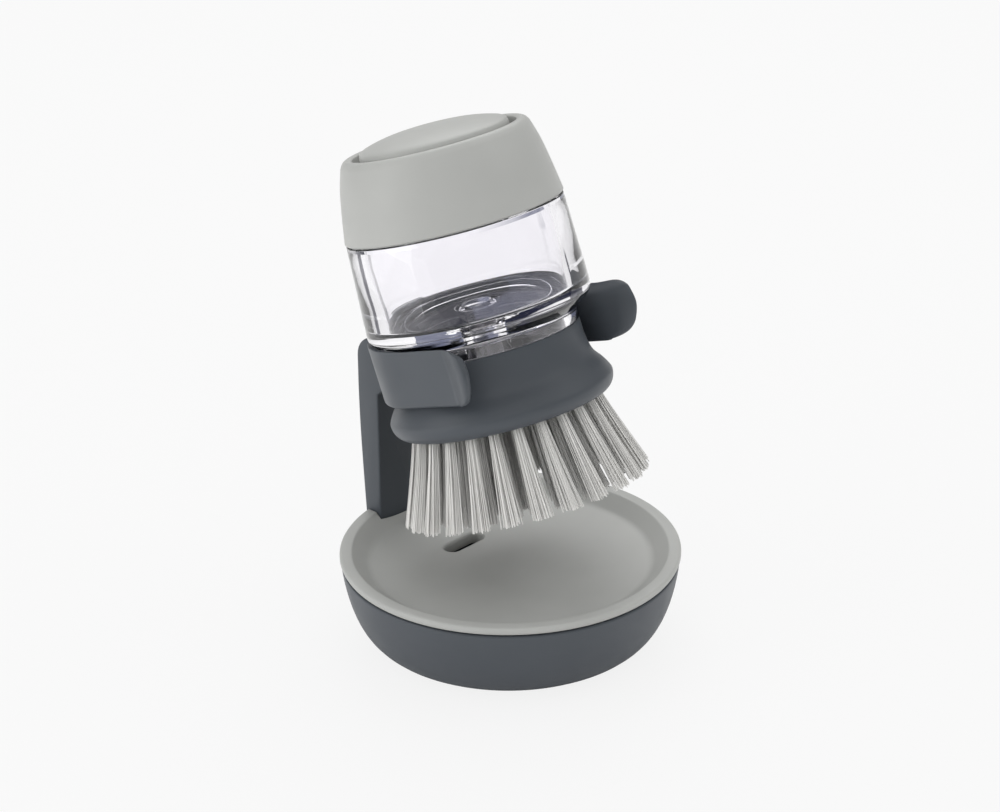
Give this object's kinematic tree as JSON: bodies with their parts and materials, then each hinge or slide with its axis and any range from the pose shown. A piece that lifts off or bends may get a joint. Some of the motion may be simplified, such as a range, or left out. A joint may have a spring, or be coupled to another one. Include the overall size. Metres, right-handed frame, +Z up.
{
  "type": "palm dish brush",
  "caption": "Round palm brush with a clear soap reservoir and a press-button cap, held in a U-shaped cradle over a round drip dish.",
  "frame": {"origin": "middle of the non-slip pad's underside, where the dish stands", "axes": "+Z up, +Y from the dish's middle towards the upright, +X to the right seen from the cradle's open side, which faces -Y"},
  "size_m": [0.1, 0.1034, 0.1575],
  "materials": {
    "light": "satin",
    "dark": "soft matte",
    "clear": "clear, faint violet tint",
    "white": "satin",
    "silicone": "matte",
    "rubber": "matte",
    "bristle": "nylon strands",
    "steel": "stainless"
  },
  "bodies": {
    "stand": {"base_bowl": "dark", "foot_pad": "rubber", "cradle_stand": "dark", "stand_screw_left": "steel", "stand_screw_right": "steel"},
    "tray": {"drip_tray": "light"},
    "brush": {"reservoir": "clear"},
    "cap": {"cap_collar": "light", "diaphragm_plate": "white", "cap_gasket": "silicone"},
    "button": {"press_button": "light", "button_spring": "steel", "air_diaphragm": "silicone"},
    "head": {"brush_head": "dark", "bristles_outer": "bristle", "bristles_middle": "bristle", "bristles_inner": "bristle", "slit_valve": "silicone", "valve_retainer": "dark", "head_gasket": "silicone", "outlet_gasket": "silicone"}
  },
  "joints": [
    {"name": "tray_lift", "type": "slide", "parent": "stand", "child": "tray", "axis": [0, 0, 1], "range_m": [0, 0.006]},
    {"name": "brush_lift_out", "type": "slide", "parent": "stand", "child": "brush", "axis": [0, -0.9455, 0.3256], "range_m": [0, 0.1]},
    {"name": "cap_twist", "type": "hinge", "parent": "brush", "child": "cap", "pos_m": [0, 0.02003, 0.1266], "axis": [0, 0.3256, 0.9455], "range_deg": [0, 40]},
    {"name": "button_press", "type": "slide", "parent": "cap", "child": "button", "axis": [0, -0.3256, -0.9455], "range_m": [0, 0.004], "stiffness_N_per_m": 1500, "springref_m": -0.001, "deforming": ["button_spring", "air_diaphragm"]},
    {"name": "head_twist", "type": "hinge", "parent": "brush", "child": "head", "pos_m": [0, 0.02003, 0.1266], "axis": [0, -0.3256, -0.9455], "range_deg": [0, 40]}
  ]
}
